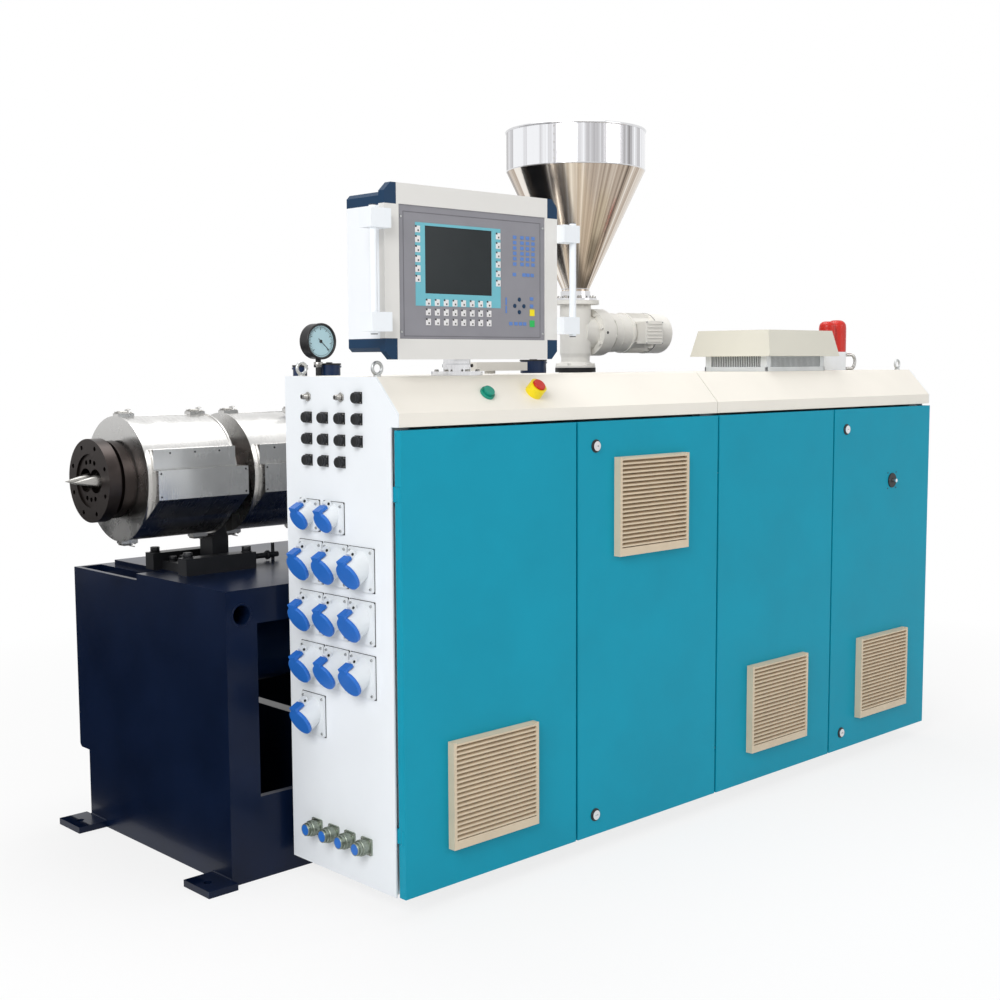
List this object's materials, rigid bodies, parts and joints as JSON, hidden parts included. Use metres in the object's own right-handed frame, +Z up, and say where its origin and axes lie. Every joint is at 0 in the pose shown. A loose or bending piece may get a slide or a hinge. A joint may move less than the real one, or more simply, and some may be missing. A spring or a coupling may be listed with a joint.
{
  "type": "twin-screw plastic extruder with a built-in control cabinet",
  "caption": "Plastic extruder: heated twin-screw barrel on a heavy base beside a long control cabinet, with a feed hopper, swivelling operator panel and hinged doors.",
  "frame": {"origin": "middle of the footprint at floor level", "axes": "+X along the barrel from die to motor, +Y from the doors to the barrel's far side, +Z up"},
  "size_m": [3.113, 1.303, 2.12],
  "materials": {
    "navy_gloss": "gloss navy machine enamel",
    "teal_powder": "fine-textured teal powder coat",
    "cream_enamel": "satin cream enamel",
    "white_powder": "fine-textured off-white powder coat",
    "beige_plastic": "moulded beige plastic",
    "brushed_stainless": "brushed stainless sheet",
    "polished_stainless": "polished stainless sheet",
    "nitrided_steel": "dark nitrided steel",
    "bright_steel": "ground bright steel",
    "black_oxide": "black oxide steel",
    "blue_enamel": "dark blue enamel",
    "cream_cast": "cream enamel on a casting",
    "grey_enamel": "grey machine enamel",
    "zinc_sheet": "zinc-plated steel",
    "blue_plastic": "moulded blue plastic",
    "socket_plastic": "moulded light grey plastic",
    "black_plastic": "moulded black plastic",
    "connector_metal": "grey-green anodised connector shell",
    "keypad_grey": "grey keypad foil",
    "screen_glass": "dark screen glass",
    "corner_blue": "moulded dark blue plastic",
    "chrome": "bright plated metal",
    "red_plastic": "red plastic",
    "yellow_plastic": "yellow and black plastic rings",
    "green_plastic": "green plastic"
  },
  "bodies": {
    "machine": {"base_pedestal": "navy_gloss", "anchor_pads": "navy_gloss", "base_sill": "navy_gloss", "base_posts": "navy_gloss", "deck_rails": "navy_gloss", "deck_plate": "navy_gloss", "barrel": "nitrided_steel", "barrel_covers": "brushed_stainless", "barrel_support": "black_oxide", "slide_bars": "black_oxide", "vent_stacks": "blue_enamel", "zone_box": "cream_enamel", "vacuum_gauge": "black_plastic", "feed_section": "grey_enamel", "feeder_body": "cream_cast", "feeder_drive": "cream_cast", "hopper": "polished_stainless", "gearbox": "navy_gloss", "coupling_guard": "navy_gloss", "main_motor": "navy_gloss", "water_tank": "blue_enamel", "end_panel_die": "white_powder", "end_panel_motor": "white_powder", "top_cover": "cream_enamel", "cabinet_back": "white_powder", "cabinet_base": "white_powder", "cabinet_frame": "white_powder", "cabinet_ties": "navy_gloss", "mounting_plates": "zinc_sheet", "hinge_brackets": "teal_powder", "button_collars": "yellow_plastic", "sockets": "socket_plastic", "socket_lids": "blue_plastic", "signal_connectors": "black_plastic", "power_connectors": "connector_metal", "hmi_pedestal": "chrome", "roof_fan_base": "socket_plastic", "roof_fan_hood": "white_powder", "beacon": "red_plastic", "beacon_base": "white_powder", "lifting_eyes": "zinc_sheet"},
    "door_1": {"door_1": "teal_powder", "door_1_grille": "beige_plastic"},
    "door_2": {"door_2": "teal_powder", "door_2_grille": "beige_plastic", "door_2_locks": "chrome"},
    "door_3": {"door_3": "teal_powder", "door_3_grille": "beige_plastic"},
    "door_4": {"door_4": "teal_powder", "door_4_grille": "beige_plastic", "door_4_locks": "chrome"},
    "operator_panel": {"hmi_housing": "cream_enamel", "hmi_corners": "corner_blue", "hmi_plate": "keypad_grey", "hmi_screen": "screen_glass", "hmi_handles": "white_powder"},
    "screw_near": {"screw_near": "bright_steel"},
    "screw_far": {"screw_far": "bright_steel"},
    "start_button": {"start_button": "green_plastic"},
    "stop_button": {"stop_button": "red_plastic"}
  },
  "joints": [
    {"name": "door_1_hinge", "type": "hinge", "parent": "machine", "child": "door_1", "pos_m": [-1.1695, -0.6175, 0.613], "axis": [0, 0, -1], "range_deg": [0, 90]},
    {"name": "door_2_hinge", "type": "hinge", "parent": "machine", "child": "door_2", "pos_m": [-0.0085, -0.6175, 0.613], "axis": [0, 0, 1], "range_deg": [0, 90]},
    {"name": "door_3_hinge", "type": "hinge", "parent": "machine", "child": "door_3", "pos_m": [0.0495, -0.6175, 0.613], "axis": [0, 0, -1], "range_deg": [0, 90]},
    {"name": "door_4_hinge", "type": "hinge", "parent": "machine", "child": "door_4", "pos_m": [1.2105, -0.6175, 0.613], "axis": [0, 0, 1], "range_deg": [0, 90]},
    {"name": "panel_swivel", "type": "hinge", "parent": "machine", "child": "operator_panel", "pos_m": [-0.8495, -0.4635, 1.37], "axis": [0, 0, 1], "range_deg": [-90, 90]},
    {"name": "screw_near_turn", "type": "hinge", "parent": "machine", "child": "screw_near", "pos_m": [-1.3795, 0.2245, 1.027], "axis": [1, 0, 0], "continuous": true},
    {"name": "screw_far_turn", "type": "hinge", "parent": "machine", "child": "screw_far", "pos_m": [-1.3795, 0.2765, 1.027], "axis": [1, 0, 0], "continuous": true},
    {"name": "start_press", "type": "slide", "parent": "machine", "child": "start_button", "axis": [0, 0.7325, -0.6808], "range_m": [0, 0.004], "stiffness_N_per_m": 500},
    {"name": "stop_press", "type": "slide", "parent": "machine", "child": "stop_button", "axis": [0, 0.7325, -0.6808], "range_m": [0, 0.005]}
  ],
  "couplings": [
    {"joint": "screw_far_turn", "follows": "screw_near_turn", "ratio": -1}
  ]
}
